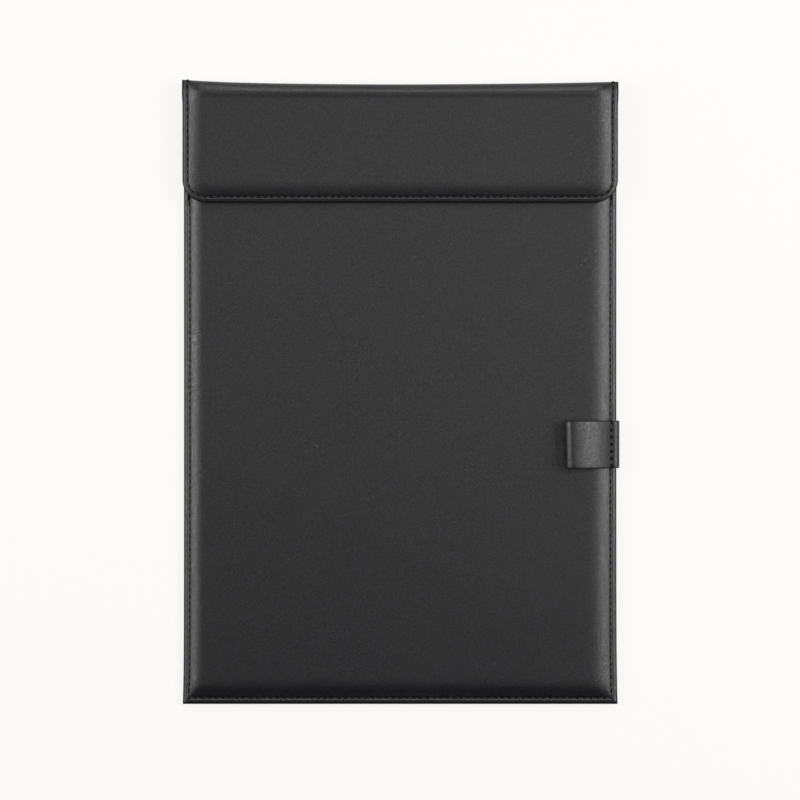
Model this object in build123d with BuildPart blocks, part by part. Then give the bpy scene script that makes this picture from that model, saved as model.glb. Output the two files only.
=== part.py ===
from build123d import *

import os
from math import acos, atan2, degrees, hypot, radians, tan

# Padded A4 writing pad with a magnetic flap across its top and a pen loop on its right edge.
# It lies closed on its back: X runs across it, +Y towards the spine, +Z up.
# The origin is on the underside of the back, in the middle of the closed length and of the width.

# Overall sizes, in millimetres
board_width = 220.0
board_length = 315.0
flap_overhang = 0.25
flap_length = 60.1

# Sheets and padding
leather = 0.8
board_core_thick = 2.5
board_foam_thick = 2.2
flap_core_thick = 2.0
flap_foam_thick = 1.8
keeper_thick = 0.5
strap_leather = 0.9

# Sewn hem round the board and round the flap: two turned leather edges, face to face
hem_leather = 1.1
board_hem_rise = 1.0
flap_hem_rise = 0.6
hem_round = 0.5
board_margin = 3.4
flap_margin = 3.2
board_corner = 1.2
flap_corner = 11.5
side_draw_in = 0.35

# Soft shape of the padded faces
board_crown = 0.5
board_shoulder = 2.4
panel_corner = 3.0
back_edge_round = 0.9
flap_fall = 0.5
flap_shoulder = 2.0
lining_edge_round = 0.5

# Spine and its two folds
fold_radius = 5.2
fold_gap = 0.3
spine_pad_thick = 1.8

# Magnets in the flap and the steel strip in the board that they pull on
magnet_count = 4
magnet_diameter = 12.0
magnet_side_distance = 26.25
magnet_edge_distance = 14.0
magnet_hole_clearance = 0.1
keeper_length = 190.0
keeper_width = 30.0

# Pen loop
strap_width = 24.1
strap_y = -25.2
loop_reach = 19.7
loop_radius = 3.9
loop_root_margin = 5.7
stitch_margin = 2.85
strap_wrap = 1.4
strap_slack = 0.5

# Clearances
closed_gap = 0.3
root_gap = 0.3
strap_rest_gap = 0.1

# Heights of the layers, from the back up
board_core_top = leather + board_core_thick
board_top = board_core_top + board_foam_thick + leather
board_seam = board_hem_rise + hem_leather
board_hem_top = board_seam + hem_leather
flap_low = board_top + closed_gap
flap_core_low = flap_low + leather
flap_core_top = flap_core_low + flap_core_thick
flap_top = flap_core_top + flap_foam_thick + leather
flap_seam = flap_low + flap_hem_rise + hem_leather
flap_hem_top = flap_seam + hem_leather

# Places across the width and along the length
flap_width = board_width + 2 * flap_overhang
low_y = -board_length / 2
spine_y = board_length / 2
flap_low_y = spine_y - flap_length
fold_y = spine_y - fold_radius
panel_low_y = low_y + board_margin
flap_pad_low_y = flap_low_y + flap_margin
magnet_y = flap_low_y + magnet_edge_distance
magnet_pitch = (flap_width - 2 * magnet_side_distance) / (magnet_count - 1)

# The leather of each fold is split on the fold's bisector, half the gap to each side
half_gap_angle = degrees(fold_gap / 2 / (fold_radius - leather / 2))
half_fold_angle = 45.0 - half_gap_angle


def padded_form(inset, base_z, top_z, shoulder):
    """Form of the writing panel, drawn in by inset, whose top is crowned up to top_z."""
    half_width = board_width / 2 - board_margin - inset
    near_y = panel_low_y + inset
    far_y = fold_y - inset
    side_z = top_z - board_crown
    with BuildPart() as form:
        with BuildSketch(Plane.XZ.offset(-near_y)):
            with BuildLine():
                Polyline((half_width, side_z), (half_width, base_z), (-half_width, base_z), (-half_width, side_z))
                ThreePointArc((-half_width, side_z), (0, top_z), (half_width, side_z))
            make_face()
        extrude(amount=near_y - far_y)
        fillet(form.edges().filter_by(Axis.Z), panel_corner - inset)
        fillet(form.faces().sort_by(Axis.Z)[-1].edges(), shoulder)
    return form.part


def flap_form(inset, base_z, top_z, shoulder):
    """Form of the padded flap, drawn in by inset, whose top falls gently from the fold."""
    half_width = flap_width / 2 - flap_margin - inset
    near_y = flap_pad_low_y + inset
    far_y = fold_y - inset
    with BuildPart() as form:
        with BuildSketch(Plane.YZ):
            with BuildLine():
                Polyline((near_y, top_z - flap_fall), (near_y, base_z), (far_y, base_z), (far_y, top_z))
                TangentArc((far_y, top_z), (near_y, top_z - flap_fall), tangent=(-1, 0))
            make_face()
        extrude(amount=half_width, both=True)
        near_corners = form.edges().filter_by(Axis.Z).group_by(Axis.Y)[0]
        fillet(near_corners, flap_corner - flap_margin - inset)
        fillet(form.faces().sort_by(Axis.Z)[-1].edges().sort_by(Axis.Y)[:-1], shoulder)
    return form.part


def board_outline():
    """Outline of the board's hem: square corners, and sides drawn in a little at mid length."""
    half_width = board_width / 2
    with BuildSketch() as outline:
        with BuildLine():
            Line((-half_width, low_y), (half_width, low_y))
            ThreePointArc(
                (half_width, low_y),
                (half_width - side_draw_in, (low_y + fold_y) / 2),
                (half_width, fold_y),
            )
            Line((half_width, fold_y), (-half_width, fold_y))
            ThreePointArc(
                (-half_width, fold_y),
                (-half_width + side_draw_in, (low_y + fold_y) / 2),
                (-half_width, low_y),
            )
        make_face()
        fillet(outline.vertices().group_by(Axis.Y)[0], board_corner)
    return outline.sketch


def flap_outline(inset):
    """Outline of the flap, drawn in by inset, with its two round lower corners."""
    near_y = flap_low_y + inset
    with BuildSketch() as outline:
        with Locations((0, (near_y + fold_y) / 2)):
            Rectangle(flap_width - 2 * inset, fold_y - near_y)
        fillet(outline.vertices().group_by(Axis.Y)[0], flap_corner - inset)
    return outline.sketch


def wrap_section(centre_z, start_angle, arc_size):
    """Section of the leather round a part of a fold, in a sketch whose axes are Y and Z."""
    centre = (fold_y, centre_z)
    with BuildSketch() as section:
        with BuildLine():
            outer = CenterArc(centre, fold_radius, start_angle, arc_size)
            inner = CenterArc(centre, fold_radius - leather, start_angle, arc_size)
            Line(outer @ 0, inner @ 0)
            Line(outer @ 1, inner @ 1)
        make_face()
    return section.sketch


# Forms of the padded panel and of the flap, outside and inside their leather
panel_outside = padded_form(0, board_seam, board_top, board_shoulder)
panel_inside = padded_form(leather, board_seam, board_top - leather, board_shoulder - leather)
flap_outside = flap_form(0, flap_seam, flap_top, flap_shoulder)
flap_inside = flap_form(leather, flap_seam, flap_top - leather, flap_shoulder - leather)

# Rectangle of the board's core, between the walls of its covers
core_width = board_width - 2 * board_margin - 2 * leather
core_low_y = panel_low_y + leather
core_high_y = fold_y - leather
core_middle_y = (core_low_y + core_high_y) / 2
core_length = core_high_y - core_low_y

# Back leather: a shallow tray over the core, its raised hem, and the lower half of the first fold
with BuildPart() as back_cover:
    with BuildSketch(Plane.XY) as tray:
        with Locations((0, (panel_low_y + fold_y) / 2)):
            Rectangle(core_width + 2 * leather, fold_y - panel_low_y)
        fillet(tray.vertices().group_by(Axis.Y)[0], panel_corner)
    extrude(amount=board_seam)
    fillet(back_cover.faces().sort_by(Axis.Z)[0].edges().sort_by(Axis.Y)[:-1], back_edge_round)
    with BuildSketch(Plane.XY.offset(board_hem_rise)):
        add(board_outline())
    extrude(amount=hem_leather)
    with BuildSketch(Plane.XY.offset(leather)):
        with Locations((0, core_middle_y)):
            RectangleRounded(core_width, core_length, panel_corner - leather)
    extrude(amount=board_seam - leather, mode=Mode.SUBTRACT)
    with BuildSketch(Plane.YZ):
        add(wrap_section(fold_radius, -90.0, half_fold_angle))
    extrude(amount=board_width / 2, both=True)
back_cover.part.label = "back_cover"

# Greyboard core of the board
with BuildPart() as board_core:
    with BuildSketch(Plane.XY.offset(leather)):
        with Locations((0, core_middle_y)):
            RectangleRounded(core_width, core_length, panel_corner - leather)
    extrude(amount=board_core_thick)
board_core.part.label = "board_core"

# Steel strip on the core, under the flap's magnets
with BuildPart() as keeper_plate:
    with BuildSketch(Plane.XY.offset(board_core_top)):
        with Locations((0, magnet_y)):
            RectangleRounded(keeper_length, keeper_width, panel_corner)
    extrude(amount=keeper_thick)
keeper_plate.part.label = "keeper_plate"

# Foam over the core, crowned like the leather above it and cut out for the steel strip
with BuildPart() as board_foam:
    add(padded_form(leather, board_core_top, board_top - leather, board_shoulder - leather))
    add(keeper_plate.part, mode=Mode.SUBTRACT)
board_foam.part.label = "board_foam"

# Front leather: the padded writing panel with its sewn hem
with BuildPart() as front_cover:
    with BuildSketch(Plane.XY.offset(board_seam)):
        add(board_outline())
    extrude(amount=hem_leather)
    fillet(front_cover.faces().sort_by(Axis.Z)[-1].edges().sort_by(Axis.Y)[:-1], hem_round)
    add(panel_outside)
    add(panel_inside, mode=Mode.SUBTRACT)
front_cover.part.label = "front_cover"

# Flap lining: a shallow tray under the flap's core, with its half of the hem
with BuildPart() as flap_lining:
    with BuildSketch(Plane.XY.offset(flap_low)):
        add(flap_outline(flap_margin))
    extrude(amount=flap_seam - flap_low)
    fillet(flap_lining.faces().sort_by(Axis.Z)[0].edges().sort_by(Axis.Y)[:-1], lining_edge_round)
    with BuildSketch(Plane.XY.offset(flap_low + flap_hem_rise)):
        add(flap_outline(0))
    extrude(amount=hem_leather)
    with BuildSketch(Plane.XY.offset(flap_core_low)):
        add(flap_outline(flap_margin + leather))
        with Locations((0, fold_y - leather / 2)):
            Rectangle(flap_width, leather, mode=Mode.SUBTRACT)
    extrude(amount=flap_seam - flap_core_low, mode=Mode.SUBTRACT)
flap_lining.part.label = "flap_lining"

# Magnets in a row along the flap's lower edge
magnet_places = [(magnet_pitch * (index - (magnet_count - 1) / 2), magnet_y) for index in range(magnet_count)]
flap_magnets = []
for index, place in enumerate(magnet_places):
    with BuildPart() as magnet:
        with BuildSketch(Plane.XY.offset(flap_core_low)):
            with Locations(place):
                Circle(magnet_diameter / 2)
        extrude(amount=flap_core_thick)
    magnet.part.label = f"flap_magnet_{index + 1}"
    flap_magnets.append(magnet.part)

# Greyboard core of the flap, with a hole for each magnet
with BuildPart() as flap_core:
    with BuildSketch(Plane.XY.offset(flap_core_low)):
        add(flap_outline(flap_margin + leather))
        with Locations((0, fold_y - leather / 2)):
            Rectangle(flap_width, leather, mode=Mode.SUBTRACT)
        with Locations(*magnet_places):
            Circle(magnet_diameter / 2 + magnet_hole_clearance, mode=Mode.SUBTRACT)
    extrude(amount=flap_core_thick)
flap_core.part.label = "flap_core"

# Foam over the flap's core
with BuildPart() as flap_foam:
    add(flap_form(leather, flap_core_top, flap_top - leather, flap_shoulder - leather))
flap_foam.part.label = "flap_foam"

# Flap leather: the padded face, its hem on three sides and the upper half of the second fold
with BuildPart() as flap_cover:
    with BuildSketch(Plane.XY.offset(flap_seam)):
        add(flap_outline(0))
    extrude(amount=hem_leather)
    fillet(flap_cover.faces().sort_by(Axis.Z)[-1].edges().sort_by(Axis.Y)[:-1], hem_round)
    add(flap_outside)
    add(flap_inside, mode=Mode.SUBTRACT)
    with BuildSketch(Plane.YZ):
        add(wrap_section(flap_top - fold_radius, 90.0 - half_fold_angle, half_fold_angle))
    extrude(amount=board_width / 2, both=True)
flap_cover.part.label = "flap_cover"

# Spine leather: the wall between the folds and the half of each fold that belongs to it
with BuildPart() as spine_cover:
    with BuildSketch(Plane.YZ):
        add(wrap_section(fold_radius, -half_fold_angle, half_fold_angle))
        add(wrap_section(flap_top - fold_radius, 0.0, half_fold_angle))
        with Locations((spine_y - leather / 2, flap_top / 2)):
            Rectangle(leather, flap_top - 2 * fold_radius)
    extrude(amount=board_width / 2, both=True)
spine_cover.part.label = "spine_cover"

# Foam strip that fills the curve of the spine leather, flat towards the lining
pad_face_y = spine_y - leather - spine_pad_thick
pad_face_low = fold_radius - (pad_face_y - fold_y) * tan(radians(half_fold_angle))
with BuildPart() as spine_pad:
    with BuildSketch(Plane.YZ):
        with BuildLine():
            low_arc = CenterArc((fold_y, fold_radius), fold_radius - leather, -half_fold_angle, half_fold_angle)
            high_arc = CenterArc(
                (fold_y, flap_top - fold_radius),
                fold_radius - leather,
                0.0,
                half_fold_angle,
            )
            Line(low_arc @ 1, high_arc @ 0)
            Polyline(low_arc @ 0, (pad_face_y, pad_face_low), (pad_face_y, flap_top - pad_face_low), high_arc @ 1)
        make_face()
    extrude(amount=board_width / 2, both=True)
spine_pad.part.label = "spine_pad"

# Spine lining: the inner leather between the folds, kept short of both of them
lining_face_y = pad_face_y - leather
lining_low = fold_radius - (lining_face_y - fold_y) + fold_gap
with BuildPart() as spine_lining:
    with BuildSketch(Plane.YZ):
        with Locations(((lining_face_y + pad_face_y) / 2, flap_top / 2)):
            Rectangle(leather, flap_top - 2 * lining_low)
    extrude(amount=board_width / 2, both=True)
spine_lining.part.label = "spine_lining"

# Pen loop: a strap doubled back on itself, tall at its left turn and closed at its root
loop_low = board_top + closed_gap
loop_root_x = board_width / 2 - loop_root_margin
loop_left_x = loop_root_x - loop_reach
loop_centre = (loop_left_x + loop_radius, loop_low + loop_radius)
root_top = loop_low + 2 * strap_leather
root_reach = hypot(loop_root_x - loop_centre[0], root_top - loop_centre[1])
root_angle = atan2(root_top - loop_centre[1], loop_root_x - loop_centre[0])
tangent_angle = degrees(root_angle + acos(loop_radius / root_reach))
with BuildPart() as pen_loop:
    with BuildSketch(Plane.XZ.offset(-strap_y)) as loop_section:
        with BuildLine():
            left_turn = CenterArc(loop_centre, loop_radius, tangent_angle, 270.0 - tangent_angle)
            Polyline(left_turn @ 1, (loop_root_x, loop_low), (loop_root_x, root_top), left_turn @ 0)
        make_face()
        offset(amount=-strap_leather, kind=Kind.INTERSECTION, mode=Mode.SUBTRACT)
    extrude(amount=strap_width / 2, both=True)
pen_loop.part.label = "pen_loop"

# Sewn end of the strap: doubled over the padded edge and the hem, then round the edge to the back
tab_x = loop_root_x + root_gap
stitch_x = board_width / 2 - stitch_margin
panel_wall_x = board_width / 2 - board_margin + strap_rest_gap
hem_x = board_width / 2 + strap_slack
wrap_x = hem_x + strap_leather
lower_layer_x = stitch_x + strap_wrap
with BuildPart() as pen_loop_tab:
    with BuildSketch(Plane.XZ.offset(-strap_y)) as tab_section:
        with BuildLine():
            Polyline(
                (tab_x, loop_low),
                (tab_x, root_top),
                (tab_x + strap_leather, root_top),
                (stitch_x + strap_leather, board_hem_top + 2 * strap_leather),
                (wrap_x, board_hem_top + 2 * strap_leather),
                (wrap_x, board_hem_rise - strap_leather),
                (panel_wall_x, board_hem_rise - strap_leather),
                (panel_wall_x, board_hem_rise),
                (hem_x, board_hem_rise),
                (hem_x, board_hem_top + strap_leather),
                (lower_layer_x, board_hem_top + strap_leather),
                (lower_layer_x, board_hem_top),
                (panel_wall_x, board_hem_top),
                (panel_wall_x, board_hem_top + strap_leather),
                (tab_x + strap_leather, loop_low),
                (tab_x, loop_low),
            )
        make_face()
        outer_bends = tab_section.vertices().group_by(Axis.X)[-1]
        fillet(outer_bends, strap_leather)
    extrude(amount=strap_width / 2, both=True)
pen_loop_tab.part.label = "pen_loop_tab"

os.makedirs("parts", exist_ok=True)
finished = [
    back_cover.part,
    board_core.part,
    keeper_plate.part,
    board_foam.part,
    front_cover.part,
    flap_lining.part,
    flap_core.part,
    flap_foam.part,
    flap_cover.part,
    spine_cover.part,
    spine_pad.part,
    spine_lining.part,
    pen_loop.part,
    pen_loop_tab.part,
    *flap_magnets,
]
for piece in finished:
    export_step(piece, f"parts/{piece.label}.step")
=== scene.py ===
import math

import bpy
from mathutils import Matrix, Vector


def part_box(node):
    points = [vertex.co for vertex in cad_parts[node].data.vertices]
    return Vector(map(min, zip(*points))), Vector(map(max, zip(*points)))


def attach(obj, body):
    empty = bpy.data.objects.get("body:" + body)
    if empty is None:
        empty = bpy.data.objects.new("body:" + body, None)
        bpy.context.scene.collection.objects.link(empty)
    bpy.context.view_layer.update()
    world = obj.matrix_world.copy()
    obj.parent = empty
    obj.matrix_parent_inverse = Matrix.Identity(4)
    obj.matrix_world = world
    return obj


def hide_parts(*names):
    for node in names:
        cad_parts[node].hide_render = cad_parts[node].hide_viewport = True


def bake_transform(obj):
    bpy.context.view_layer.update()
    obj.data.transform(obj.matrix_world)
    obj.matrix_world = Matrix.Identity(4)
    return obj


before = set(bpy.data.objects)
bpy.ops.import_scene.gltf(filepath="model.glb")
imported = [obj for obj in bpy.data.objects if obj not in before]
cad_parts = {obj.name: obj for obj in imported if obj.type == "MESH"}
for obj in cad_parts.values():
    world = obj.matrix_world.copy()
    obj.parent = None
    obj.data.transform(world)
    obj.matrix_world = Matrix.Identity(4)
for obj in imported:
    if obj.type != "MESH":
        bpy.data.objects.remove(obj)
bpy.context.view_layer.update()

# Back panel
# One sheet of fine-grained leather, glued flat to the core, stepped up into its half of the sewn hem,
# and carried round the first fold to the middle of the spine, where it meets the leather of the flap.
MM = 0.001
BOARD_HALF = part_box("front_cover")[1].x
BOARD_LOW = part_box("front_cover")[0].y
FLAP_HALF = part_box("flap_cover")[1].x
SPINE_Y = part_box("spine_cover")[1].y
FLAP_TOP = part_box("flap_cover")[1].z
FOLD_RADIUS = 5.2 * MM
FOLD_Y = SPINE_Y - FOLD_RADIUS
SPINE_MIDDLE = FLAP_TOP / 2
FOLD_ARC = FOLD_RADIUS * math.pi / 2
FOLD_WALL = SPINE_MIDDLE - FOLD_RADIUS
BACK_HEM_LOW = 1.0 * MM
HEM_ROUND = 0.8 * MM
HEM_CREST, CREST_PLACE, CREST_WIDTH, CREST_DROP = 0.50 * MM, 2.0 * MM, 0.80 * MM, 0.12 * MM
SEAM_PRESS, SEAM_PRESS_WIDTH = 0.24 * MM, 0.45 * MM
PAINTED_BORDER = 0.62 * MM
STITCH_MARGIN = 3.1 * MM
BACK_STEP_START, STEP_WIDTH = 3.2 * MM, 3 * MM
BOARD_DRAW_IN, BOARD_SLACK = 0.15 * MM, 0.10 * MM
CORNER_FLARE, FLARE_REACH = 0.50 * MM, 14 * MM
LEATHER_SHELL = 0.6 * MM
PROUD_LEFT, PROUD_LEFT_REACH = 2.3 * MM, 28 * MM
PROUD_RIGHT, PROUD_RIGHT_REACH = 1.3 * MM, 38 * MM
PROUD_FADE, PROUD_TURN = 26 * MM, 0.35
FOLD_SPREAD, SPREAD_REACH = 0.3 * MM, 7 * MM
FOLD_SAG, SAG_REACH = 0.22 * MM, 45 * MM
CREASE_ANGLE = math.radians(50)
COLUMN_PITCH, BACK_ROW_PITCH = 5 * MM, 6 * MM
FOLD_STEPS, FOLD_ARC_STEPS, WALL_SHARES = (0, 2, 4, 7, 11, 16), 10, (0.5, 1.0)
EDGE_STEPS = (-0.5, -0.25, 0, 0.05, 0.14, 0.28, 0.45, 0.62, 0.85, 1.15, 1.5, 1.85, 2.2, 2.5, 2.75, 3.0,
              3.25, 3.5, 3.8, 4.2, 4.8, 5.5, 6.4, 7.5, 9.0, 10.8, 13.0, 15.5)


def smooth(t):
    """Goes from 0 to 1 with a level start and end."""
    t = min(1.0, max(0.0, t))
    return t * t * (3 - 2 * t)


def swell(distance, start, width, ease=1.0):
    """Share of its full height that padding has at a distance from the edge; ease softens its foot."""
    t = min(1.0, max(0.0, (distance - start) / width))
    return 1 - (1 - t ** ease) ** 3


def hem_height(distance, seam_line=STITCH_MARGIN, press=SEAM_PRESS, press_width=SEAM_PRESS_WIDTH):
    """Height of a turned and sewn leather edge over its own flat: round rim, low crest, pressed seam."""
    edge = min(distance, 0.0)
    inside = max(distance, 0.0)
    rim = 0.0
    if inside < HEM_ROUND:
        rim = math.sqrt(HEM_ROUND ** 2 - (HEM_ROUND - inside) ** 2) - HEM_ROUND
    crest = HEM_CREST * math.exp(-((inside - CREST_PLACE) / CREST_WIDTH) ** 2) - CREST_DROP
    seam = press * math.exp(-((inside - seam_line) / press_width) ** 2)
    return edge + rim + crest - seam


def board_half_width(y):
    """Half width of the board: drawn in a little at mid length and flared at the lower corners."""
    draw_in = BOARD_DRAW_IN * (y / BOARD_LOW) ** 2
    flare = CORNER_FLARE * math.exp(-(y - BOARD_LOW) / FLARE_REACH)
    return BOARD_HALF + BOARD_SLACK + draw_in + flare


def proud(x):
    """How far the sewn corners of the fold stand out past its middle."""
    left = PROUD_LEFT * math.exp(-(x + BOARD_HALF) / PROUD_LEFT_REACH)
    right = PROUD_RIGHT * math.exp(-(BOARD_HALF - x) / PROUD_RIGHT_REACH)
    return left + right - FOLD_SAG * math.exp(-(x / SAG_REACH) ** 2)


def stations(low, high, low_steps, high_steps, pitch):
    """Grid lines from low to high: close together at the sewn edges, pitch apart between them."""
    near = [low + step * MM for step in low_steps]
    far = [high - step * MM for step in reversed(high_steps)]
    count = max(1, round((far[0] - near[-1]) / pitch))
    between = [near[-1] + (far[0] - near[-1]) * index / count for index in range(1, count)]
    return near + between + far


def shaped_grid(name, columns, rows, place, thickness):
    """A grid whose lines go where place says, given a leather's thickness on its inner side."""
    bpy.ops.object.select_all(action="DESELECT")
    bpy.ops.mesh.primitive_grid_add(x_subdivisions=len(columns) - 1, y_subdivisions=len(rows) - 1, size=1.0)
    piece = bpy.context.active_object
    piece.name = name
    for vertex in piece.data.vertices:
        column = round((vertex.co.x + 0.5) * (len(columns) - 1))
        row = round((vertex.co.y + 0.5) * (len(rows) - 1))
        vertex.co = place(columns[column], rows[row])
    wall = piece.modifiers.new("wall", "SOLIDIFY")
    wall.thickness = thickness
    wall.offset = -1.0
    bpy.ops.object.modifier_apply(modifier="wall")
    bpy.ops.object.shade_smooth_by_angle(angle=CREASE_ANGLE)
    return piece


def fine_leather_group():
    """Grain of fine pressed leather: small pebbles of random tone with creases between them, the colour
    darkened in the creases as painted shade, and slow changes of sheen.
    """
    group = bpy.data.node_groups.new("fine_leather", "ShaderNodeTree")
    for label, kind, value in (("Colour", "NodeSocketColor", None), ("Grain", "NodeSocketFloat", 1200.0),
                               ("Roughness", "NodeSocketFloat", 0.5)):
        socket = group.interface.new_socket(name=label, in_out="INPUT", socket_type=kind)
        if value is not None:
            socket.default_value = value
    for label, kind in (("Colour", "NodeSocketColor"), ("Roughness", "NodeSocketFloat"),
                        ("Height", "NodeSocketFloat")):
        group.interface.new_socket(name=label, in_out="OUTPUT", socket_type=kind)
    nodes, links = group.nodes, group.links
    given = nodes.new("NodeGroupInput")
    made = nodes.new("NodeGroupOutput")
    place = nodes.new("ShaderNodeTexCoord")
    pebbles = nodes.new("ShaderNodeTexVoronoi")
    pebbles.feature = "DISTANCE_TO_EDGE"
    links.new(place.outputs["Object"], pebbles.inputs["Vector"])
    links.new(given.outputs["Grain"], pebbles.inputs["Scale"])
    crease = nodes.new("ShaderNodeMapRange")
    crease.inputs["From Max"].default_value = 0.16
    links.new(pebbles.outputs["Distance"], crease.inputs["Value"])
    fine = nodes.new("ShaderNodeTexNoise")
    fine.inputs["Scale"].default_value = 1500.0
    fine.inputs["Detail"].default_value = 2.0
    links.new(place.outputs["Object"], fine.inputs["Vector"])
    height = nodes.new("ShaderNodeMath")
    height.operation = "MULTIPLY_ADD"
    height.inputs[1].default_value = 0.55
    links.new(crease.outputs["Result"], height.inputs[0])
    links.new(fine.outputs["Fac"], height.inputs[2])
    links.new(height.outputs[0], made.inputs["Height"])
    slow = nodes.new("ShaderNodeTexNoise")
    slow.inputs["Scale"].default_value = 28.0
    slow.inputs["Detail"].default_value = 4.0
    links.new(place.outputs["Object"], slow.inputs["Vector"])
    sheen = nodes.new("ShaderNodeMath")
    sheen.operation = "MULTIPLY_ADD"
    sheen.inputs[1].default_value = 0.10
    links.new(slow.outputs["Fac"], sheen.inputs[0])
    links.new(given.outputs["Roughness"], sheen.inputs[2])
    cells = nodes.new("ShaderNodeTexVoronoi")
    links.new(place.outputs["Object"], cells.inputs["Vector"])
    links.new(given.outputs["Grain"], cells.inputs["Scale"])
    apart = nodes.new("ShaderNodeSeparateColor")
    links.new(cells.outputs["Color"], apart.inputs["Color"])
    dull = nodes.new("ShaderNodeMath")
    dull.operation = "MULTIPLY_ADD"
    dull.inputs[1].default_value = -0.20
    links.new(apart.outputs["Red"], dull.inputs[0])
    links.new(sheen.outputs[0], dull.inputs[2])
    links.new(dull.outputs[0], made.inputs["Roughness"])
    shade = nodes.new("ShaderNodeMapRange")
    shade.inputs["To Min"].default_value = 0.0
    shade.inputs["To Max"].default_value = 2.4
    links.new(apart.outputs["Red"], shade.inputs["Value"])
    # Colour of each pebble: its own random tone times the crease mask, which darkens the creases as painted
    # shade.
    tone_and_crease_shade = nodes.new("ShaderNodeMath")
    tone_and_crease_shade.operation = "MULTIPLY"
    links.new(shade.outputs["Result"], tone_and_crease_shade.inputs[0])
    links.new(crease.outputs["Result"], tone_and_crease_shade.inputs[1])
    colour = nodes.new("ShaderNodeMix")
    colour.data_type = "RGBA"
    colour.blend_type = "MULTIPLY"
    colour.inputs["Factor"].default_value = 1.0
    links.new(given.outputs["Colour"], colour.inputs["A"])
    links.new(tone_and_crease_shade.outputs[0], colour.inputs["B"])
    links.new(colour.outputs["Result"], made.inputs["Colour"])
    return group


fine_leather = fine_leather_group()


def leather_material(name, colour, roughness, grain, depth):
    """Dyed leather with a satin finish: grain is how fine its pebbles are, depth how far they stand out."""
    material = bpy.data.materials.new(name)
    material.use_nodes = True
    nodes, links = material.node_tree.nodes, material.node_tree.links
    shader = nodes["Principled BSDF"]
    group = nodes.new("ShaderNodeGroup")
    group.node_tree = fine_leather
    group.inputs["Colour"].default_value = (*colour, 1.0)
    group.inputs["Grain"].default_value = grain
    group.inputs["Roughness"].default_value = roughness
    bump = nodes.new("ShaderNodeBump")
    bump.inputs["Strength"].default_value = depth
    bump.inputs["Distance"].default_value = 0.00008
    links.new(group.outputs["Height"], bump.inputs["Height"])
    links.new(group.outputs["Colour"], shader.inputs["Base Color"])
    links.new(group.outputs["Roughness"], shader.inputs["Roughness"])
    links.new(bump.outputs["Normal"], shader.inputs["Normal"])
    return material


cover_leather = leather_material("cover_leather", (0.0070, 0.0070, 0.0088), 0.43, 1500.0, 0.6)


def paint_edges(piece, distance):
    """Gives the painted cut edge its own material: every face nearer the outline than the painted border."""
    piece.data.materials.append(edge_paint)
    for face in piece.data.polygons:
        if distance(face.center) < PAINTED_BORDER:
            face.material_index = 1


def board_edge_distance(place):
    """Distance from the board's outline, inside it."""
    return min(board_half_width(place.y) - abs(place.x), place.y - BOARD_LOW)


def plain_material(name, colour, metallic, roughness, scale, contrast):
    """A plain material whose colour and roughness vary a little over fine noise."""
    material = bpy.data.materials.new(name)
    material.use_nodes = True
    nodes, links = material.node_tree.nodes, material.node_tree.links
    shader = nodes["Principled BSDF"]
    shader.inputs["Metallic"].default_value = metallic
    place = nodes.new("ShaderNodeTexCoord")
    noise = nodes.new("ShaderNodeTexNoise")
    noise.inputs["Scale"].default_value = scale
    noise.inputs["Detail"].default_value = 6.0
    links.new(place.outputs["Object"], noise.inputs["Vector"])
    ramp = nodes.new("ShaderNodeMix")
    ramp.data_type = "RGBA"
    ramp.inputs["A"].default_value = (*[part * (1 - contrast) for part in colour], 1.0)
    ramp.inputs["B"].default_value = (*[min(1.0, part * (1 + contrast)) for part in colour], 1.0)
    links.new(noise.outputs["Fac"], ramp.inputs["Factor"])
    links.new(ramp.outputs["Result"], shader.inputs["Base Color"])
    spread = nodes.new("ShaderNodeMapRange")
    spread.inputs["To Min"].default_value = roughness - 0.08
    spread.inputs["To Max"].default_value = roughness + 0.08
    links.new(noise.outputs["Fac"], spread.inputs["Value"])
    links.new(spread.outputs["Result"], shader.inputs["Roughness"])
    bump = nodes.new("ShaderNodeBump")
    bump.inputs["Strength"].default_value = 0.3
    bump.inputs["Distance"].default_value = 0.00005
    links.new(noise.outputs["Fac"], bump.inputs["Height"])
    links.new(bump.outputs["Normal"], shader.inputs["Normal"])
    return material


edge_paint = plain_material("edge_paint", (0.004, 0.004, 0.0045), 0.0, 0.62, 1200.0, 0.3)
edge_paint.node_tree.nodes["Principled BSDF"].inputs["Specular IOR Level"].default_value = 0.2


def back_point(x, s):
    """Point of the back panel: s runs up the back, round the fold and up to the spine's middle."""
    overrun_y = max(BOARD_LOW - s, 0.0)
    flat_y = min(max(s, BOARD_LOW), FOLD_Y)
    half = board_half_width(flat_y)
    overrun_x = max(abs(x) - BOARD_HALF, 0.0)
    across = math.copysign(min(abs(x), BOARD_HALF), x) * half / BOARD_HALF
    turn = min(max(s - FOLD_Y, 0.0), FOLD_ARC) / FOLD_RADIUS
    climb = max(s - FOLD_Y - FOLD_ARC, 0.0)
    side = half - abs(across) - overrun_x
    end = flat_y - BOARD_LOW - overrun_y
    flat = swell(side, BACK_STEP_START, STEP_WIDTH) * swell(end, BACK_STEP_START, STEP_WIDTH)
    step = BACK_HEM_LOW * (1 - flat)
    lift = (step - hem_height(min(side, end))) * math.cos(turn)
    ease = proud(across) * smooth((s - FOLD_Y + PROUD_FADE) / PROUD_FADE) * smooth(turn + PROUD_TURN)
    y = flat_y + FOLD_RADIUS * math.sin(turn) + ease - overrun_x * math.sin(turn)
    z = FOLD_RADIUS * (1 - math.cos(turn)) + lift + climb
    spread = 1 + FOLD_SPREAD / FLAP_HALF * smooth((s - FOLD_Y + SPREAD_REACH) / SPREAD_REACH)
    return Vector((across * spread, y, z))


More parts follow.
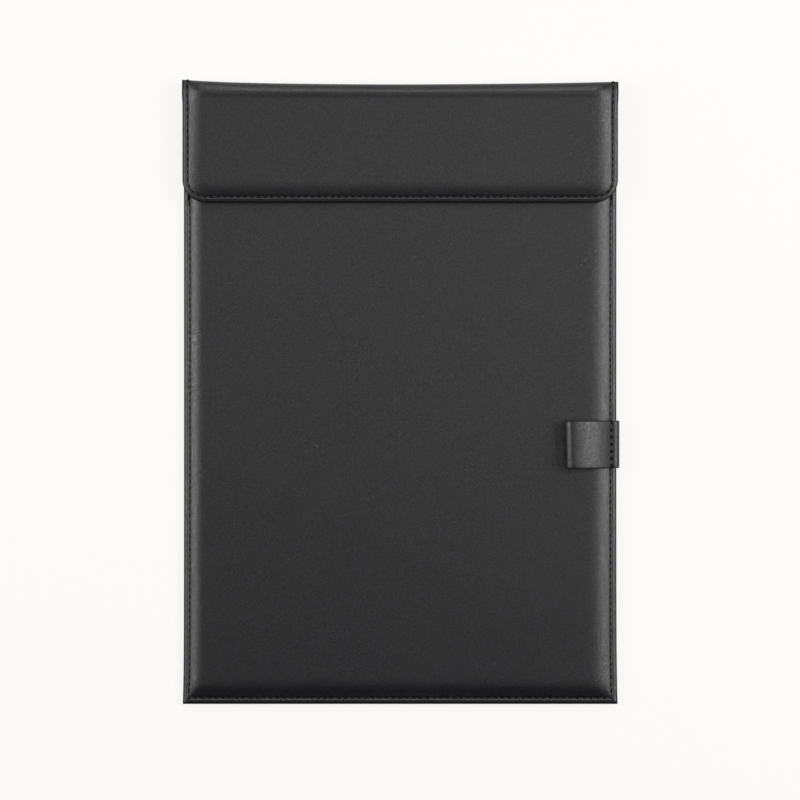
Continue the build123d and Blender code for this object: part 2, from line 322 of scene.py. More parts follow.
side_columns = stations(-BOARD_HALF, BOARD_HALF, EDGE_STEPS, EDGE_STEPS, COLUMN_PITCH)
back_rows = stations(BOARD_LOW, FOLD_Y, EDGE_STEPS, FOLD_STEPS, BACK_ROW_PITCH)
back_rows += [FOLD_Y + FOLD_ARC * turn / FOLD_ARC_STEPS for turn in range(1, FOLD_ARC_STEPS + 1)]
back_rows += [FOLD_Y + FOLD_ARC + FOLD_WALL * rise for rise in WALL_SHARES]
back_panel = shaped_grid("back_panel", list(reversed(side_columns)), back_rows, back_point, LEATHER_SHELL)
back_panel.data.materials.append(cover_leather)
paint_edges(back_panel, board_edge_distance)
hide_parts("back_cover", "spine_cover")
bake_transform(back_panel)

# Cores, steel strip and magnets
# Two pieces of greyboard stiffen the board and the flap. A thin steel strip is glued to the board's,
# and disc magnets sit in holes in the flap's. The leather hides them all.
greyboard = plain_material("greyboard", (0.30, 0.28, 0.25), 0.0, 0.85, 900.0, 0.25)
steel_sheet = plain_material("steel_sheet", (0.55, 0.55, 0.56), 1.0, 0.38, 400.0, 0.06)
nickel = plain_material("nickel", (0.66, 0.64, 0.60), 1.0, 0.22, 300.0, 0.04)


def dress(node, material):
    """Gives a kept solid its material."""
    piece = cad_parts[node]
    piece.data.materials.clear()
    piece.data.materials.append(material)


dress("board_core", greyboard)
dress("flap_core", greyboard)
dress("keeper_plate", steel_sheet)
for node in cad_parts:
    if node.startswith("flap_magnet_"):
        dress(node, nickel)

# Writing panel
# Leather over a sheet of foam: a sewn hem on three sides, a soft bevel that rises from the stitches,
# and a low crown in the middle. Its upper end turns down under the flap.
FRONT_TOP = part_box("front_cover")[1].z
SEAM_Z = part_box("front_cover")[0].z
HEM_LEATHER = 1.1 * MM
HEM_TOP = SEAM_Z + HEM_LEATHER
PANEL_CROWN = 0.5 * MM
PANEL_PADDING = FRONT_TOP - PANEL_CROWN - HEM_TOP
PANEL_BEVEL_LEFT, PANEL_BEVEL_RIGHT, PANEL_BEVEL_END = 9.8 * MM, 12.5 * MM, 10.5 * MM
PANEL_EASE = 1.12
PANEL_END_ROUND = 2.4 * MM
PANEL_CORNER = 1.2 * MM
PANEL_TOP_STEPS, PANEL_ROW_PITCH = (0, 0.05, 0.2, 0.5, 1.0, 1.6, 2.4, 4, 7), 5 * MM


def round_corner(x, y, centre_x, centre_y, radius):
    """Moves a point of a square corner onto the same place of a round one."""
    across = (abs(x) - centre_x) / radius
    along = (centre_y - y) / radius
    if across <= 0 or along <= 0:
        return x, y
    across, along = min(across, 1.0), min(along, 1.0)
    new_x = centre_x + radius * across * math.sqrt(1 - along * along / 2)
    new_y = centre_y - radius * along * math.sqrt(1 - across * across / 2)
    return math.copysign(new_x, x), new_y


def corner_distance(x, y, centre_x, centre_y, radius):
    """Distance to the rounded outline from inside it."""
    across = abs(x) - centre_x
    along = centre_y - y
    if across > 0 and along > 0:
        return radius - math.hypot(across, along)
    return radius - max(across, along)


def front_point(x, y):
    """Point of the writing panel's face."""
    flat_y = min(max(y, BOARD_LOW), FOLD_Y)
    overrun = max(abs(x) - BOARD_HALF, BOARD_LOW - y, 0.0)
    half = board_half_width(flat_y)
    across = math.copysign(min(abs(x), BOARD_HALF), x) * half / BOARD_HALF
    across, along = round_corner(across, flat_y, half - PANEL_CORNER, BOARD_LOW + PANEL_CORNER, PANEL_CORNER)
    edge = corner_distance(across, along, half - PANEL_CORNER, BOARD_LOW + PANEL_CORNER, PANEL_CORNER)
    side = half - abs(across)
    end = along - BOARD_LOW
    bevel = PANEL_BEVEL_LEFT if across < 0 else PANEL_BEVEL_RIGHT
    pad = swell(side, STITCH_MARGIN, bevel, PANEL_EASE)
    pad *= swell(end, STITCH_MARGIN, PANEL_BEVEL_END, PANEL_EASE)
    crown = PANEL_CROWN * (1 - (across / half) ** 2) * pad
    z = HEM_TOP + hem_height(edge if overrun == 0 else -overrun) + PANEL_PADDING * pad + crown
    top_end = max(FOLD_Y - y, 0.0)
    if top_end < PANEL_END_ROUND:
        z = SEAM_Z + (z - SEAM_Z) * math.sqrt(max(0.0, 1 - (1 - top_end / PANEL_END_ROUND) ** 2))
    return Vector((across, along, z))


front_rows = stations(BOARD_LOW, FOLD_Y, EDGE_STEPS, PANEL_TOP_STEPS, PANEL_ROW_PITCH)
writing_panel = shaped_grid("writing_panel", side_columns, front_rows, front_point, LEATHER_SHELL)
writing_panel.data.materials.append(cover_leather)
paint_edges(writing_panel, board_edge_distance)
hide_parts("front_cover", "board_foam")
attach(writing_panel, "board")

# Flap
# The same leather over its own foam, sewn down both sides and along its round-cornered lower edge.
# Its upper end rolls over the spine and meets the back panel's leather at the spine's middle.
FLAP_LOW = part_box("flap_cover")[0].y
FLAP_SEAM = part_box("flap_cover")[0].z
FLAP_HEM_TOP = FLAP_SEAM + HEM_LEATHER
FLAP_LENGTH = FOLD_Y - FLAP_LOW
FLAP_CORNER = 11.5 * MM
FLAP_FALL = 0.4 * MM
FLAP_PADDING = FLAP_TOP - FLAP_HEM_TOP
FLAP_SIDE_BEVEL = 10.8 * MM
FLAP_END_BEVEL = 9.5 * MM
FLAP_CORNER_BEVEL = FLAP_END_BEVEL + 1 * MM
FLAP_EASE = 1.2
FLAP_HEM = 2.9 * MM
FLAP_SEAM_LINE = 2.65 * MM
FLAP_PRESS, FLAP_PRESS_WIDTH = 0.62 * MM, 0.55 * MM
ROLL_RISE, ROLL_REACH = 0.60 * MM, 14 * MM
ROLL_BULGE, BULGE_REACH = 0.42 * MM, 1.9 * MM
ROLL_STEPS, ROLL_ARC_STEPS = (0, 0.6, 1.2, 1.8, 2.4, 3.2, 4.2, 5.5, 7.5), 14
FLAP_COLUMN_PITCH, FLAP_ROW_PITCH = 4 * MM, 3 * MM


def flap_hem(edge, overrun):
    """Height of the flap's hem over its flat, inside its outline by edge or down its cut edge by overrun."""
    distance = edge if overrun == 0 else -overrun
    return hem_height(distance, FLAP_SEAM_LINE, FLAP_PRESS, FLAP_PRESS_WIDTH)


def flap_point(x, s):
    """Point of the flap's face: s runs up from its lower edge, over the roll and down the spine."""
    overrun = max(abs(x) - FLAP_HALF, -s, 0.0)
    across = math.copysign(min(abs(x), FLAP_HALF), x)
    flat = min(max(s, 0.0), FLAP_LENGTH)
    across, along = round_corner(across, flat, FLAP_HALF - FLAP_CORNER, FLAP_CORNER, FLAP_CORNER)
    edge = corner_distance(across, along, FLAP_HALF - FLAP_CORNER, FLAP_CORNER, FLAP_CORNER)
    turn = min(max(s - FLAP_LENGTH, 0.0), FOLD_ARC) / FOLD_RADIUS
    drop = max(s - FLAP_LENGTH - FOLD_ARC, 0.0)
    if s > FLAP_CORNER:
        edge = FLAP_HALF - abs(across)
    side_pad = swell(FLAP_HALF - abs(across), FLAP_HEM, FLAP_SIDE_BEVEL, FLAP_EASE)
    end_pad = swell(along, FLAP_HEM, FLAP_END_BEVEL, FLAP_EASE)
    corner_pad = swell(edge, FLAP_HEM, FLAP_CORNER_BEVEL, FLAP_EASE)
    pad = side_pad * end_pad
    near_corner = smooth(1 - (along - FLAP_CORNER) / FLAP_CORNER)
    near_corner *= smooth(1 - (FLAP_HALF - FLAP_CORNER - abs(across)) / FLAP_CORNER)
    pad = pad * (1 - near_corner) + min(pad, corner_pad) * near_corner
    fall = FLAP_FALL * (1 - flat / FLAP_LENGTH) ** 2 * pad
    dip = ROLL_RISE * (1 - math.exp(-max(FLAP_LENGTH - s, 0.0) / ROLL_REACH)) * pad
    dip -= ROLL_BULGE * math.exp(-((s - FLAP_LENGTH) / BULGE_REACH) ** 2) * pad
    height = FLAP_PADDING * (pad - 1) + flap_hem(edge, overrun) - fall - dip
    z = FLAP_TOP - FOLD_RADIUS * (1 - math.cos(turn)) + height * math.cos(turn) - drop
    ease = proud(across) * smooth((s - FLAP_LENGTH + PROUD_FADE) / PROUD_FADE) * smooth(turn + PROUD_TURN)
    y = FLAP_LOW + along + FOLD_RADIUS * math.sin(turn) + ease - overrun * math.sin(turn)
    spread = 1 + FOLD_SPREAD / FLAP_HALF * smooth((s - FLAP_LENGTH + SPREAD_REACH) / SPREAD_REACH)
    return Vector((across * spread, y, z))


flap_columns = stations(-FLAP_HALF, FLAP_HALF, EDGE_STEPS, EDGE_STEPS, FLAP_COLUMN_PITCH)
flap_rows = stations(0, FLAP_LENGTH, EDGE_STEPS, ROLL_STEPS, FLAP_ROW_PITCH)
flap_rows += [FLAP_LENGTH + FOLD_ARC * turn / ROLL_ARC_STEPS for turn in range(1, ROLL_ARC_STEPS + 1)]
flap_rows += [FLAP_LENGTH + FOLD_ARC + FOLD_WALL * rise for rise in WALL_SHARES]
flap_face = shaped_grid("flap_face", flap_columns, flap_rows, flap_point, LEATHER_SHELL)
flap_face.data.materials.append(cover_leather)


def flap_edge_distance(place):
    """Distance from the flap's outline, inside it."""
    return corner_distance(place.x, place.y - FLAP_LOW, FLAP_HALF - FLAP_CORNER, FLAP_CORNER, FLAP_CORNER)


paint_edges(flap_face, flap_edge_distance)
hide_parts("flap_cover", "flap_foam")
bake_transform(flap_face)

# Flap lining
# The flap's inner leather lies flat over its core, steps up into the other half of the hem,
# and turns up at the fold to close the flap's end.
LINING_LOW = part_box("flap_lining")[0].z
LINING_HEM_RISE = 0.6 * MM
LINING_STEP_START = 3.0 * MM
LINING_END, LINING_END_HELD = 3.6 * MM, 0.8
LINING_TOP_STEPS, LINING_ROW_PITCH, LINING_END_SHARES = (0, 0.3, 1, 3, 7), 6 * MM, (0.1, 0.5, 1.0)


def lining_point(x, s):
    """Point of the flap's inner face."""
    overrun = max(abs(x) - FLAP_HALF, -s, 0.0)
    across = math.copysign(min(abs(x), FLAP_HALF), x)
    flat = min(max(s, 0.0), FLAP_LENGTH)
    across, along = round_corner(across, flat, FLAP_HALF - FLAP_CORNER, FLAP_CORNER, FLAP_CORNER)
    edge = corner_distance(across, along, FLAP_HALF - FLAP_CORNER, FLAP_CORNER, FLAP_CORNER)
    if s > FLAP_CORNER:
        edge = FLAP_HALF - abs(across)
    hem_share = 1 - swell(edge, LINING_STEP_START, STEP_WIDTH)
    step = LINING_HEM_RISE * hem_share
    end_rise = max(s - FLAP_LENGTH, 0.0) * (1 - LINING_END_HELD * hem_share)
    z = LINING_LOW + step - flap_hem(edge, overrun) + end_rise
    return Vector((across, FLAP_LOW + along, z))


lining_rows = stations(0, FLAP_LENGTH, EDGE_STEPS, LINING_TOP_STEPS, LINING_ROW_PITCH)
lining_rows += [FLAP_LENGTH + LINING_END * rise for rise in LINING_END_SHARES]
lining_columns = list(reversed(flap_columns))
flap_inside = shaped_grid("flap_inside", lining_columns, lining_rows, lining_point, LEATHER_SHELL)
flap_inside.data.materials.append(cover_leather)
paint_edges(flap_inside, flap_edge_distance)
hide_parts("flap_lining")
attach(flap_inside, "flap")

# Spine lining
# A strip of foam, glued to the spine, rounds it. Inside it a strip of leather bridges each fold, from the
# panel's end and from the flap's end to the spine's middle, with the slack to lie flat when the flap is open.
PAD_SIDE_ROOM = 4 * MM
PAD_EDGE_ROUND, PAD_ROUND_STEPS, PAD_CREASE_ANGLE = 0.7 * MM, 4, math.radians(40)
dark_foam = plain_material("dark_foam", (0.018, 0.018, 0.018), 0.0, 0.9, 1400.0, 0.4)
pad_low, pad_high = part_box("spine_pad")
pad_middle = (pad_low + pad_high) / 2
bpy.ops.object.select_all(action="DESELECT")
bpy.ops.mesh.primitive_cube_add(size=1, location=pad_middle)
spine_foam = bpy.context.active_object
spine_foam.name = "spine_foam"
spine_foam.scale = (2 * (BOARD_HALF - PAD_SIDE_ROOM), pad_high.y - pad_low.y, pad_high.z - pad_low.z)
bpy.ops.object.transform_apply(location=True, rotation=False, scale=True)
soften = spine_foam.modifiers.new("soften", "BEVEL")
soften.width = PAD_EDGE_ROUND
soften.segments = PAD_ROUND_STEPS
bpy.ops.object.modifier_apply(modifier="soften")
bpy.ops.object.shade_smooth_by_angle(angle=PAD_CREASE_ANGLE)
spine_foam.data.materials.append(dark_foam)
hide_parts("spine_pad")
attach(spine_foam, "spine")
LINING_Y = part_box("spine_lining")[0].y
GUSSET = ((FOLD_Y, 3.6 * MM), (FOLD_Y + 0.15 * MM, 2.3 * MM), (FOLD_Y + 0.9 * MM, 1.7 * MM),
          (LINING_Y - 0.1 * MM, 2.4 * MM), (LINING_Y, 4.0 * MM), (LINING_Y, SPINE_MIDDLE))
GUSSET_HALF = BOARD_HALF - 3.6 * MM
GUSSET_HELD = 14 * MM
GUSSET_SEAM_Z = 3.7 * MM
GUSSET_STEPS = 24
GUSSET_THICK = 0.4 * MM
GUSSET_SIDE_STEPS, GUSSET_PITCH = (0, 2, 5, 9, 14), 10 * MM


def along_points(points, share):
    """Point at a share of the way through a list of points, on a smooth line through them."""
    place = share * (len(points) - 1)
    index = min(int(place), len(points) - 2)
    t = place - index
    before, after = points[max(index - 1, 0)], points[min(index + 2, len(points) - 1)]
    start, end = points[index], points[index + 1]
    return [0.5 * (2 * b + (c - a) * t
                   + (2 * a - 5 * b + 4 * c - d) * t * t
                   + (3 * b - a - 3 * c + d) * t ** 3)
            for a, b, c, d in zip(before, start, end, after)]


def gusset_point(x, share):
    """Point of the lining at the lower fold; it hangs slack except where the side seams hold it."""
    y, z = along_points(GUSSET, share)
    held = 1 - smooth((GUSSET_HALF - abs(x)) / GUSSET_HELD)
    return Vector((x, y, z + held * max(GUSSET_SEAM_Z - z, 0.0)))


def upper_gusset_point(x, share):
    """The same leather at the upper fold, mirrored about the spine's middle."""
    point = gusset_point(x, share)
    point.z = FLAP_TOP - point.z
    return point


gusset_columns = stations(-GUSSET_HALF, GUSSET_HALF, GUSSET_SIDE_STEPS, GUSSET_SIDE_STEPS, GUSSET_PITCH)
turned_columns = list(reversed(gusset_columns))
gusset_rows = [index / GUSSET_STEPS for index in range(GUSSET_STEPS + 1)]
lower_gusset = shaped_grid("lower_fold_lining", turned_columns, gusset_rows, gusset_point, GUSSET_THICK)
lower_gusset.data.materials.append(cover_leather)
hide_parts("spine_lining")
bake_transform(lower_gusset)
upper_gusset = shaped_grid("upper_fold_lining", gusset_columns, gusset_rows, upper_gusset_point, GUSSET_THICK)
upper_gusset.data.materials.append(cover_leather)
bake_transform(upper_gusset)

# Pen loop
# A strap of the same leather, sewn across the right hem: one end goes round the edge to the back,
# the other is doubled back on itself as the loop, and its tip is caught under the stitches.
STRAP_Y = (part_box("pen_loop")[0].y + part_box("pen_loop")[1].y) / 2
STRAP_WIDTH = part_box("pen_loop")[1].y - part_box("pen_loop")[0].y
LOOP_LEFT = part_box("pen_loop")[0].x - 1.0 * MM
LOOP_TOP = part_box("pen_loop")[1].z
LOOP_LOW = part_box("pen_loop")[0].z
LOOP_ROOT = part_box("pen_loop")[1].x
STRAP_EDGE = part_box("pen_loop_tab")[1].x + 0.25 * MM
STRAP_THICK = 0.9 * MM
STITCH_X = BOARD_HALF - STITCH_MARGIN
STRAP_STEPS = 150
STRAP_SKEW = 0.27 * MM
strap_half = STRAP_THICK / 2
loop_middle = (LOOP_TOP + LOOP_LOW) / 2
SLOPE_LOW = HEM_TOP + 1.8 * MM
SLOPE_BEND = 1.8
LOOP_SINK = 0.6 * MM
SLOPE_START = 3.6 * MM
CUT_ROUND, CUT_SHARE = 0.18 * MM, 0.03
STRAP_PAINT_INSET = 0.2 * MM
STRAP_LOOK = 0.002


def slope_point(share):
    """Point of the loop's upper layer, which falls from its left turn to its stitches ever more steeply."""
    start_x = LOOP_LEFT + SLOPE_START
    start_z = LOOP_TOP - strap_half - LOOP_SINK
    return start_x + (STITCH_X - start_x) * share, start_z - (start_z - SLOPE_LOW) * share ** SLOPE_BEND


strap_line = (
    (STITCH_X - 0.2 * MM, BACK_HEM_LOW - strap_half),
    (BOARD_HALF - 0.9 * MM, BACK_HEM_LOW - strap_half),
    (STRAP_EDGE - 0.62 * MM, BACK_HEM_LOW + 0.35 * MM),
    (STRAP_EDGE - strap_half, HEM_TOP - 0.7 * MM),
    (STRAP_EDGE - 0.9 * MM, HEM_TOP + 0.65 * MM),
    (STRAP_EDGE - 2.5 * MM, HEM_TOP + 1.65 * MM),
    slope_point(1.0),
    slope_point(0.87),
    slope_point(0.65),
    slope_point(0.4),
    slope_point(0.18),
    slope_point(0.0),
    (LOOP_LEFT + 1.35 * MM, LOOP_TOP - 1.5 * MM - LOOP_SINK),
    (LOOP_LEFT + strap_half, loop_middle),
    (LOOP_LEFT + 1.25 * MM, LOOP_LOW + 1.35 * MM),
    (LOOP_LEFT + 3.6 * MM, LOOP_LOW + strap_half),
    (LOOP_LEFT + 10.0 * MM, LOOP_LOW + strap_half),
    (LOOP_ROOT - 2.5 * MM, LOOP_LOW),
    (LOOP_ROOT, LOOP_LOW - 1.4 * MM),
    (STITCH_X - 0.6 * MM, HEM_TOP + 0.75 * MM),
    (STITCH_X + 0.5 * MM, HEM_TOP + strap_half),
    (STITCH_X + 1.4 * MM, HEM_TOP + strap_half),
)


def strap_point(across, share):
    """Point of the strap's outer face, a little askew as it was sewn."""
    x, z = along_points(strap_line, share)
    x_next, z_next = along_points(strap_line, min(share + STRAP_LOOK, 1.0))
    x_last, z_last = along_points(strap_line, max(share - STRAP_LOOK, 0.0))
    run, rise = x_next - x_last, z_next - z_last
    length = math.hypot(run, rise)
    cut_round = CUT_ROUND * max(0.0, abs(across) / (STRAP_WIDTH / 2) - (1 - CUT_SHARE)) / CUT_SHARE
    out = strap_half - cut_round
    x += rise / length * out
    z -= run / length * out
    skew = STRAP_SKEW * -2 * across / STRAP_WIDTH * smooth((STITCH_X - x) / (STITCH_X - LOOP_LEFT))
    return Vector((x + skew, STRAP_Y + across, z))


ACROSS_STEPS = (0, 0.008, 0.02, 0.1, 0.3, 0.5, 0.7, 0.9, 0.98, 0.992, 1)
strap_across = [STRAP_WIDTH * (step - 0.5) for step in ACROSS_STEPS]
strap_rows = [index / STRAP_STEPS for index in range(STRAP_STEPS + 1)]
# The strap's leather is a little lighter than the cover's: painted light on the raised loop.
strap_leather = leather_material("strap_leather", (0.0080, 0.0080, 0.0098), 0.45, 1500.0, 0.6)
pen_strap = shaped_grid("pen_strap", strap_across, strap_rows, strap_point, STRAP_THICK)
pen_strap.data.materials.append(strap_leather)
paint_edges(pen_strap, lambda place: STRAP_WIDTH / 2 - abs(place.y - STRAP_Y) + STRAP_PAINT_INSET)
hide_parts("pen_loop", "pen_loop_tab")
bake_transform(pen_strap)

# Sewing
# Black thread in a lock stitch round the board, round the flap and across the strap,
# each stitch a short slanted bar between two needle holes in the pressed seam.
# Each needle hole is a near-black disc laid just over the leather: painted shade of the hole.
STITCH_PITCH = 3.43 * MM
STITCH_LENGTH = 2.6 * MM
THREAD_RADIUS = 0.34 * MM
STITCH_SLANT = 11.0
HOLE_RADIUS = 1.1 * MM
HOLE_NARROW = 0.9
HOLE_TAPER, HOLE_DEPTH = 0.7, 0.12 * MM
HOLE_SLANT = 1.6 * STITCH_SLANT
THREAD_LIFT, HOLE_LIFT = 0.02 * MM, 0.16 * MM
STITCH_SHOULDER = 0.3 * STITCH_LENGTH
TIP_NARROW, TIP_FLAT, TIP_DIP = 0.55, 0.5, 0.2 * MM
SEAM_LOOK = 0.2 * MM
STRAP_SEAM_ROOM = 1.2 * MM
UNDER_FLAP = 20 * MM
bpy.ops.object.select_all(action="DESELECT")
bpy.ops.mesh.primitive_cylinder_add(vertices=8, radius=THREAD_RADIUS, depth=STITCH_LENGTH,
                                    rotation=(0, math.pi / 2, 0))
one_stitch = bpy.context.active_object
one_stitch.name = "one_stitch"
bpy.ops.object.transform_apply(location=False, rotation=True, scale=False)
bpy.ops.object.mode_set(mode="EDIT")
bpy.ops.mesh.select_all(action="SELECT")
bpy.ops.mesh.bisect(plane_co=(STITCH_SHOULDER, 0, 0), plane_no=(1, 0, 0))
bpy.ops.mesh.select_all(action="SELECT")
bpy.ops.mesh.bisect(plane_co=(-STITCH_SHOULDER, 0, 0), plane_no=(1, 0, 0))
bpy.ops.mesh.select_all(action="DESELECT")
bpy.ops.object.mode_set(mode="OBJECT")
for vertex in one_stitch.data.vertices:
    if abs(vertex.co.x) > STITCH_SHOULDER + THREAD_RADIUS / 2:
        vertex.co.y *= TIP_NARROW
        vertex.co.z = vertex.co.z * TIP_FLAT - TIP_DIP
bpy.ops.object.select_all(action="DESELECT")
bpy.ops.mesh.primitive_cone_add(vertices=10, radius1=HOLE_RADIUS, radius2=HOLE_RADIUS * HOLE_TAPER,
                                depth=HOLE_DEPTH)
one_hole = bpy.context.active_object
one_hole.name = "one_hole"
one_hole.scale = (1, HOLE_NARROW, 1)
bpy.ops.object.transform_apply(location=False, rotation=False, scale=True)

thread_material = plain_material("thread", (0.006, 0.006, 0.007), 0.0, 0.5, 6000.0, 0.5)
# Near-black matte discs over the seam: painted shade of the needle holes.
hole_shade_material = plain_material("needle_hole_shade", (0.002, 0.002, 0.002), 0.0, 0.9, 2000.0, 0.3)
hole_shade_material.node_tree.nodes["Principled BSDF"].inputs["Specular IOR Level"].default_value = 0.1


def laid(name, model, frames, material):
    """One mesh of copies of a small modelled piece, one on each frame."""
    points, faces = [], []
    for frame_matrix in frames:
        first = len(points)
        points += [frame_matrix @ vertex.co for vertex in model.data.vertices]
        faces += [[first + index for index in face.vertices] for face in model.data.polygons]
    mesh = bpy.data.meshes.new(name)
    mesh.from_pydata(points, [], faces)
    mesh.update()
    piece = bpy.data.objects.new(name, mesh)
    bpy.context.scene.collection.objects.link(piece)
    for face in mesh.polygons:
        face.use_smooth = True
    mesh.materials.append(material)
    return piece


def seat(place, forward, up, slant, lift):
    """Frame of a stitch: it lies along forward, turned by its slant, lift above the leather."""
    ahead = forward.normalized()
    above = (up - up.dot(ahead) * ahead).normalized()
    ahead = Matrix.Rotation(math.radians(slant), 3, above) @ ahead
    beside = above.cross(ahead)
    turned = Matrix((ahead, beside, above)).transposed().to_4x4()
    return Matrix.Translation(place + above * lift) @ turned


def sew(route, low, high, slant):
    """Frames of stitches and of needle holes along route, a function from length to a leather point."""
    count = max(1, round((high - low) / STITCH_PITCH))
    pitch = (high - low) / count
    stitches, holes = [], []
    for index in range(count):
        middle = low + (index + 0.5) * pitch
        place, up = route(middle)
        before, after = route(middle - pitch / 4)[0], route(middle + pitch / 4)[0]
        stitches.append(seat(place, after - before, up, slant, THREAD_LIFT))
    for index in range(count + 1):
        needle = low + index * pitch
        place, up = route(needle)
        before, after = route(needle - pitch / 8)[0], route(needle + pitch / 8)[0]
        holes.append(seat(place, after - before, up, math.copysign(HOLE_SLANT, slant), HOLE_LIFT))
    return stitches, holes


def surface_route(point_of, line):
    """Route on a leather face: line gives the face's own two lengths from a length along the seam."""
    def route(length):
        """Point of the leather and its outward direction, at a length along the seam."""
        x, s = line(length)
        place = point_of(x, s)
        beside = point_of(x + SEAM_LOOK, s) - point_of(x - SEAM_LOOK, s)
        ahead = point_of(x, s + SEAM_LOOK) - point_of(x, s - SEAM_LOOK)
        return place, beside.cross(ahead).normalized()
    return route


def sewn_run(name, route, low, high, slant, bodies, span=None):
    """Sews one run and lets it ride on its first body, or, given a span, leaves it fixed where it is sewn."""
    stitches, holes = sew(route, low, high, slant)
    for piece in (laid(name + "_thread", one_stitch, stitches, thread_material),
                  laid(name + "_hole_shades", one_hole, holes, hole_shade_material)):
        if span is None:
            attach(piece, bodies[0])
        else:
            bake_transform(piece)


board_low_seam = BOARD_LOW + STITCH_MARGIN
left_seam, right_seam = -BOARD_HALF + STITCH_MARGIN, BOARD_HALF - STITCH_MARGIN
strap_low, strap_high = STRAP_Y - STRAP_WIDTH / 2, STRAP_Y + STRAP_WIDTH / 2
under_flap = FLAP_LOW + UNDER_FLAP
sewn_run("board_left", surface_route(front_point, lambda t: (left_seam, t)),
         board_low_seam, under_flap, -STITCH_SLANT, ["board"])
sewn_run("board_right_low", surface_route(front_point, lambda t: (right_seam, t)),
         board_low_seam, strap_low, -STITCH_SLANT, ["board"])
sewn_run("board_right_high", surface_route(front_point, lambda t: (right_seam, t)),
         strap_high, under_flap, -STITCH_SLANT, ["board"])
sewn_run("board_bottom", surface_route(front_point, lambda t: (t, board_low_seam)),
         left_seam, right_seam, -STITCH_SLANT, ["board"])

strap_seam_share = strap_line.index(slope_point(1.0)) / (len(strap_line) - 1)
strap_seam_end = STRAP_WIDTH / 2 - STRAP_SEAM_ROOM
sewn_run("strap_seam", lambda t: (strap_point(t, strap_seam_share), Vector((0, 0, 1))),
         -strap_seam_end, strap_seam_end, -STITCH_SLANT, ["board"])

FLAP_STITCH_MARGIN = 2.7 * MM
flap_side = FLAP_HALF - FLAP_STITCH_MARGIN
corner_centre = FLAP_HALF - FLAP_CORNER
corner_seam = FLAP_CORNER - FLAP_STITCH_MARGIN
corner_run = corner_seam * math.pi / 2
low_run = 2 * corner_centre
flap_seam_length = corner_run * 2 + low_run


def flap_seam_line(length):
    """The seam's place round the flap's lower edge, from its left corner to its right one."""
    if length < corner_run:
        turn = length / corner_seam
        return (-corner_centre - corner_seam * math.cos(turn),
                FLAP_LOW + FLAP_CORNER - corner_seam * math.sin(turn))
    if length < corner_run + low_run:
        return length - corner_run - corner_centre, FLAP_LOW + FLAP_STITCH_MARGIN
    turn = (length - corner_run - low_run) / corner_seam
    return (corner_centre + corner_seam * math.sin(turn),
            FLAP_LOW + FLAP_CORNER - corner_seam * math.cos(turn))


flap_seam_z = FLAP_HEM_TOP + hem_height(FLAP_STITCH_MARGIN, FLAP_SEAM_LINE, FLAP_PRESS, FLAP_PRESS_WIDTH)


def flap_low_route(length):
    """Point and upward direction of the flap's seam, at a length along it."""
    x, y = flap_seam_line(length)
    return Vector((x, y, flap_seam_z)), Vector((0, 0, 1))


def flap_side_line(side):
    """Line of the seam down one side of the flap: its place across, and a length up the flap's face."""
    return lambda t: (side * flap_side, t)


sewn_run("flap_low", flap_low_route, 0, flap_seam_length, -STITCH_SLANT, ["flap"])
upper_span = ((0, SPINE_Y, FLAP_TOP - FOLD_RADIUS), (0, FOLD_Y, FLAP_TOP))
lower_span = ((0, FOLD_Y, 0), (0, SPINE_Y, FOLD_RADIUS))
over_fold = FLAP_LENGTH + FOLD_ARC + FOLD_WALL
for side, word in ((-1, "left"), (1, "right")):
    sewn_run("flap_" + word, surface_route(flap_point, flap_side_line(side)),
             FLAP_CORNER, over_fold, -STITCH_SLANT, ["spine", "flap"], upper_span)

for side, word in ((-1, "left"), (1, "right")):
    back_line = surface_route(back_point, lambda t, side=side: (side * right_seam, t))
    sewn_run("back_" + word, lambda t, back_line=back_line: (back_line(t)[0], -back_line(t)[1]),
             board_low_seam, FOLD_Y + FOLD_ARC, STITCH_SLANT, ["board", "spine"], lower_span)
back_bottom = surface_route(back_point, lambda t: (t, board_low_seam))
sewn_run("back_bottom", lambda t: (back_bottom(t)[0], -back_bottom(t)[1]),
         left_seam, right_seam, STITCH_SLANT, ["board"])
for model in (one_stitch, one_hole):
    bpy.data.objects.remove(model)

# Floor and light
# A plain pale floor under the pad, soft lamps to the left, right and head of it and above it, and an even
# pale sky. The floor shows nearly white to the camera and keeps the pad's soft shadow.
FLOOR_SIZE = 12.0
FLOOR_DROP = 0.2 * MM
bpy.ops.object.select_all(action="DESELECT")
bpy.ops.mesh.primitive_plane_add(size=FLOOR_SIZE, location=(0, 0, -FLOOR_DROP))
floor = bpy.context.active_object
floor.name = "floor"
paper = bpy.data.materials.new("pale_floor")
paper.use_nodes = True
nodes, links = paper.node_tree.nodes, paper.node_tree.links
nodes.remove(nodes["Principled BSDF"])
matte = nodes.new("ShaderNodeBsdfDiffuse")
matte.inputs["Color"].default_value = (0.80, 0.795, 0.78, 1)
glow = nodes.new("ShaderNodeEmission")
glow.inputs["Color"].default_value = (0.965, 0.957, 0.939, 1)
rays = nodes.new("ShaderNodeLightPath")
seen = nodes.new("ShaderNodeMath")
seen.operation = "MAXIMUM"
links.new(rays.outputs["Is Camera Ray"], seen.inputs[0])
links.new(rays.outputs["Is Glossy Ray"], seen.inputs[1])
share = nodes.new("ShaderNodeMath")
share.operation = "MULTIPLY"
share.inputs[1].default_value = 0.86
links.new(seen.outputs[0], share.inputs[0])
mixed = nodes.new("ShaderNodeMixShader")
links.new(share.outputs[0], mixed.inputs["Fac"])
links.new(matte.outputs[0], mixed.inputs[1])
links.new(glow.outputs[0], mixed.inputs[2])
links.new(mixed.outputs[0], nodes["Material Output"].inputs["Surface"])
floor.data.materials.append(paper)

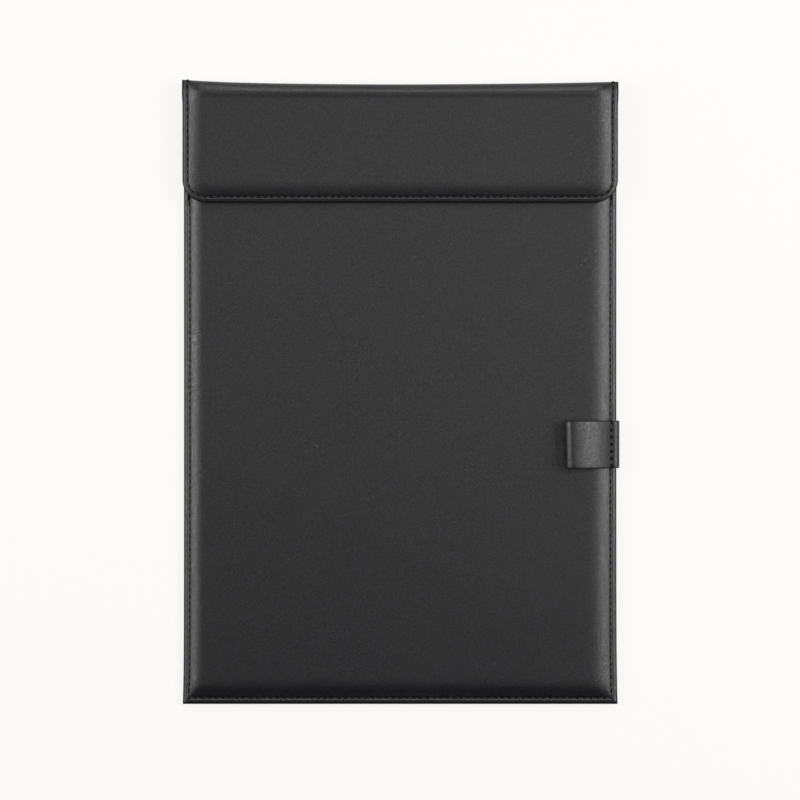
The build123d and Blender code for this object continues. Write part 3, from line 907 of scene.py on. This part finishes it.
sky = bpy.data.worlds.new("sky")
bpy.context.scene.world = sky
sky.use_nodes = True
nodes, links = sky.node_tree.nodes, sky.node_tree.links
even = nodes["Background"]
even.inputs["Color"].default_value = (1.0, 0.995, 0.98, 1)
even.inputs["Strength"].default_value = 0.03
pale = nodes.new("ShaderNodeBackground")
pale.inputs["Color"].default_value = (0.965, 0.957, 0.939, 1)
rays = nodes.new("ShaderNodeLightPath")
mixed = nodes.new("ShaderNodeMixShader")
links.new(rays.outputs["Is Camera Ray"], mixed.inputs["Fac"])
links.new(even.outputs[0], mixed.inputs[1])
links.new(pale.outputs[0], mixed.inputs[2])
links.new(mixed.outputs[0], nodes["World Output"].inputs["Surface"])


def soft_lamp(name, place, size, power):
    """A soft rectangular lamp that looks at the middle of the pad."""
    lamp = bpy.data.lights.new(name, "AREA")
    lamp.shape = "RECTANGLE"
    lamp.size, lamp.size_y = size
    lamp.energy = power
    holder = bpy.data.objects.new(name, lamp)
    bpy.context.scene.collection.objects.link(holder)
    holder.location = place
    holder.rotation_euler = (-Vector(place)).to_track_quat("-Z", "Y").to_euler()


soft_lamp("left_lamp", (-1.5, 0.15, 0.85), (1.2, 0.7), 24)
soft_lamp("right_lamp", (1.28, 0.15, 1.08), (1.2, 0.65), 25.5)
soft_lamp("head_lamp", (0.0, 1.3, 0.95), (1.2, 0.6), 11)
soft_lamp("ceiling_lamp", (0.0, 0.2, 1.7), (1.2, 0.9), 4.6)

# Camera
# Straight above the pad, high enough for the raised flap to look only a little wider than the board.
SEEN_WIDTH = 0.4072
EYE_X, EYE_Y = -0.10 * MM, -2.66 * MM
CAMERA_HEIGHT = 1.0
SENSOR = 36.0
camera = bpy.data.cameras.new("camera")
camera.sensor_width = SENSOR
camera.lens = SENSOR * CAMERA_HEIGHT / SEEN_WIDTH
camera.clip_start, camera.clip_end = 0.05, 50
eye = bpy.data.objects.new("camera", camera)
bpy.context.scene.collection.objects.link(eye)
eye.location = (EYE_X, EYE_Y, HEM_TOP + CAMERA_HEIGHT)
bpy.context.scene.camera = eye
bpy.context.scene.view_settings.view_transform = "Standard"
